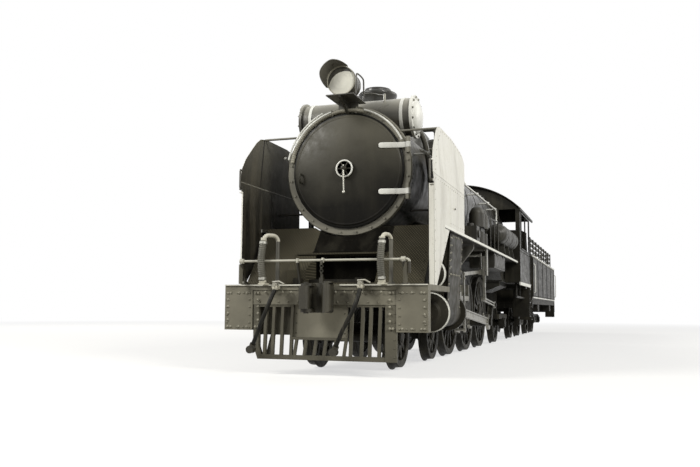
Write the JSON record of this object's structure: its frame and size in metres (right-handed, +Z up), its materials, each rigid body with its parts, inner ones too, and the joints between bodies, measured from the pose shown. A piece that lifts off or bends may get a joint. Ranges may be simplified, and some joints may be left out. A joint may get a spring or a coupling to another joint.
{
  "type": "steam locomotive with tender",
  "caption": "Steam locomotive for metre-gauge track with smoke deflectors, barred pilot, outside cylinders, spoked drivers, cab and coupled bogie tender.",
  "frame": {"origin": "mid-length between the coupler noses, on the centre line, on the plane under the wheel flanges", "axes": "+X forwards along the track, +Y to the engine's left, +Z up"},
  "size_m": [18.98, 2.626, 3.928],
  "materials": {
    "black_paint": "satin black paint, weathered",
    "frame_black": "oily black casting",
    "grey_plate": "faded olive-grey plate paint",
    "boiler_black": "semi-gloss black paint",
    "white_trim": "white enamel",
    "rod_steel": "oiled bare steel",
    "wheel_black": "painted wheel with worn steel tread",
    "hose_rubber": "matt black rubber",
    "lens_glass": "clear lamp glass"
  },
  "bodies": {
    "engine": {"air_hose_left": "hose_rubber", "air_hose_right": "hose_rubber", "backhead_fittings": "black_paint", "board_fittings": "black_paint", "boiler_barrel": "boiler_black", "brake_gear": "frame_black", "brake_pipes": "black_paint", "buffer_beam": "grey_plate", "cab_floor": "black_paint", "cab_front": "black_paint", "cab_roof": "black_paint", "cab_sides": "black_paint", "chimney": "boiler_black", "cylinders": "frame_black", "domes": "boiler_black", "driving_boxes_and_springs": "frame_black", "engine_frame": "frame_black", "feedwater_heater": "boiler_black", "firebox": "boiler_black", "front_apron": "grey_plate", "front_coupler": "frame_black", "handrails": "white_trim", "headlamp": "black_paint", "headlamp_lens": "lens_glass", "hose_couplings": "frame_black", "pilot": "black_paint", "running_boards": "black_paint", "slide_bars_and_crossheads": "frame_black", "smoke_deflectors": "black_paint", "smokebox": "boiler_black", "steam_pumps": "black_paint", "vacuum_hose_left": "hose_rubber", "vacuum_hose_right": "hose_rubber", "valve_gear": "frame_black"},
    "smokebox_door": {"smokebox_door": "boiler_black"},
    "lead_bogie": {"lead_bogie_frame": "frame_black"},
    "lead_axle_1": {"lead_wheelset_1": "wheel_black"},
    "lead_axle_2": {"lead_wheelset_2": "wheel_black"},
    "driver_1": {"driving_wheelset_1": "wheel_black"},
    "driver_2": {"driving_wheelset_2": "wheel_black"},
    "driver_3": {"driving_wheelset_3": "wheel_black"},
    "side_rod_left": {"side_rod_left": "rod_steel"},
    "side_rod_right": {"side_rod_right": "rod_steel"},
    "main_rod_left": {"main_rod_left": "rod_steel"},
    "main_rod_right": {"main_rod_right": "rod_steel"},
    "eccentric_rod_left": {"eccentric_rod_left": "rod_steel"},
    "eccentric_rod_right": {"eccentric_rod_right": "rod_steel"},
    "trailing_truck": {"trailing_truck_frame": "frame_black"},
    "trailing_axle": {"trailing_wheelset": "wheel_black"},
    "tender": {"tender_frame": "frame_black", "tender_tank": "black_paint", "bunker_rack": "black_paint", "tender_fittings": "black_paint"},
    "tank_hatch_lid": {"tank_hatch_lid": "black_paint"},
    "tender_bogie_1": {"tender_bogie_frame_1": "frame_black"},
    "tender_bogie_2": {"tender_bogie_frame_2": "frame_black"},
    "tender_axle_1": {"tender_wheelset_1": "wheel_black"},
    "tender_axle_2": {"tender_wheelset_2": "wheel_black"},
    "tender_axle_3": {"tender_wheelset_3": "wheel_black"},
    "tender_axle_4": {"tender_wheelset_4": "wheel_black"}
  },
  "joints": [
    {"name": "smokebox_door_hinge", "type": "hinge", "parent": "engine", "child": "smokebox_door", "pos_m": [8.352, 0.79, 2.483], "axis": [0, 0, 1], "range_deg": [0, 90]},
    {"name": "lead_bogie_yaw", "type": "hinge", "parent": "engine", "child": "lead_bogie", "pos_m": [7.065, 0, 0.828], "axis": [0, 0, 1], "range_deg": [-2.5, 2.5]},
    {"name": "lead_axle_1_spin", "type": "hinge", "parent": "lead_bogie", "child": "lead_axle_1", "pos_m": [7.94, 0, 0.409], "axis": [0, 1, 0], "continuous": true},
    {"name": "lead_axle_2_spin", "type": "hinge", "parent": "lead_bogie", "child": "lead_axle_2", "pos_m": [6.19, 0, 0.409], "axis": [0, 1, 0], "continuous": true},
    {"name": "driver_2_spin", "type": "hinge", "parent": "engine", "child": "driver_2", "pos_m": [3.44, 0, 0.714], "axis": [0, 1, 0], "continuous": true},
    {"name": "driver_1_spin", "type": "hinge", "parent": "engine", "child": "driver_1", "pos_m": [4.94, 0, 0.714], "axis": [0, 1, 0], "continuous": true},
    {"name": "driver_3_spin", "type": "hinge", "parent": "engine", "child": "driver_3", "pos_m": [1.94, 0, 0.714], "axis": [0, 1, 0], "continuous": true},
    {"name": "side_rod_left_pin", "type": "hinge", "parent": "driver_2", "child": "side_rod_left", "pos_m": [3.68984, 0.6875, 0.53906], "axis": [0, 1, 0], "continuous": true},
    {"name": "main_rod_left_pin", "type": "hinge", "parent": "driver_2", "child": "main_rod_left", "pos_m": [3.68984, 1.015, 0.53906], "axis": [0, 1, 0], "continuous": true},
    {"name": "eccentric_rod_left_pin", "type": "hinge", "parent": "driver_2", "child": "eccentric_rod_left", "pos_m": [3.52604, 1.109, 0.83687], "axis": [0, 1, 0], "continuous": true},
    {"name": "side_rod_right_pin", "type": "hinge", "parent": "driver_2", "child": "side_rod_right", "pos_m": [3.61494, -0.6875, 0.96384], "axis": [0, 1, 0], "continuous": true},
    {"name": "main_rod_right_pin", "type": "hinge", "parent": "driver_2", "child": "main_rod_right", "pos_m": [3.61494, -1.015, 0.96384], "axis": [0, 1, 0], "continuous": true},
    {"name": "eccentric_rod_right_pin", "type": "hinge", "parent": "driver_2", "child": "eccentric_rod_right", "pos_m": [3.31713, -1.109, 0.80004], "axis": [0, 1, 0], "continuous": true},
    {"name": "trailing_truck_yaw", "type": "hinge", "parent": "engine", "child": "trailing_truck", "pos_m": [0.84, 0, 0.588], "axis": [0, 0, -1], "range_deg": [-2.5, 2.5]},
    {"name": "trailing_axle_spin", "type": "hinge", "parent": "trailing_truck", "child": "trailing_axle", "pos_m": [-0.11, 0, 0.46], "axis": [0, 1, 0], "continuous": true},
    {"name": "tender_yaw", "type": "hinge", "parent": "engine", "child": "tender", "pos_m": [-1.41, 0, 0.898], "axis": [0, 0, -1], "range_deg": [-5, 5]},
    {"name": "tank_hatch_hinge", "type": "hinge", "parent": "tender", "child": "tank_hatch_lid", "pos_m": [-7.748, 0, 2.154], "axis": [0, 1, 0], "range_deg": [0, 110]},
    {"name": "tender_bogie_1_yaw", "type": "hinge", "parent": "tender", "child": "tender_bogie_1", "pos_m": [-3.71, 0, 0.748], "axis": [0, 0, 1], "range_deg": [-4, 4]},
    {"name": "tender_axle_1_spin", "type": "hinge", "parent": "tender_bogie_1", "child": "tender_axle_1", "pos_m": [-2.86, 0, 0.46], "axis": [0, 1, 0], "continuous": true},
    {"name": "tender_axle_2_spin", "type": "hinge", "parent": "tender_bogie_1", "child": "tender_axle_2", "pos_m": [-4.56, 0, 0.46], "axis": [0, 1, 0], "continuous": true},
    {"name": "tender_bogie_2_yaw", "type": "hinge", "parent": "tender", "child": "tender_bogie_2", "pos_m": [-7.51, 0, 0.748], "axis": [0, 0, -1], "range_deg": [-4, 4]},
    {"name": "tender_axle_3_spin", "type": "hinge", "parent": "tender_bogie_2", "child": "tender_axle_3", "pos_m": [-6.66, 0, 0.46], "axis": [0, 1, 0], "continuous": true},
    {"name": "tender_axle_4_spin", "type": "hinge", "parent": "tender_bogie_2", "child": "tender_axle_4", "pos_m": [-8.36, 0, 0.46], "axis": [0, 1, 0], "continuous": true}
  ],
  "couplings": [
    {"joint": "driver_1_spin", "follows": "driver_2_spin", "ratio": 1},
    {"joint": "driver_3_spin", "follows": "driver_2_spin", "ratio": 1},
    {"joint": "side_rod_left_pin", "follows": "driver_2_spin", "ratio": -1},
    {"joint": "main_rod_left_pin", "follows": "driver_2_spin", "ratio": -1},
    {"joint": "eccentric_rod_left_pin", "follows": "driver_2_spin", "ratio": -1},
    {"joint": "side_rod_right_pin", "follows": "driver_2_spin", "ratio": -1},
    {"joint": "main_rod_right_pin", "follows": "driver_2_spin", "ratio": -1},
    {"joint": "eccentric_rod_right_pin", "follows": "driver_2_spin", "ratio": -1}
  ]
}
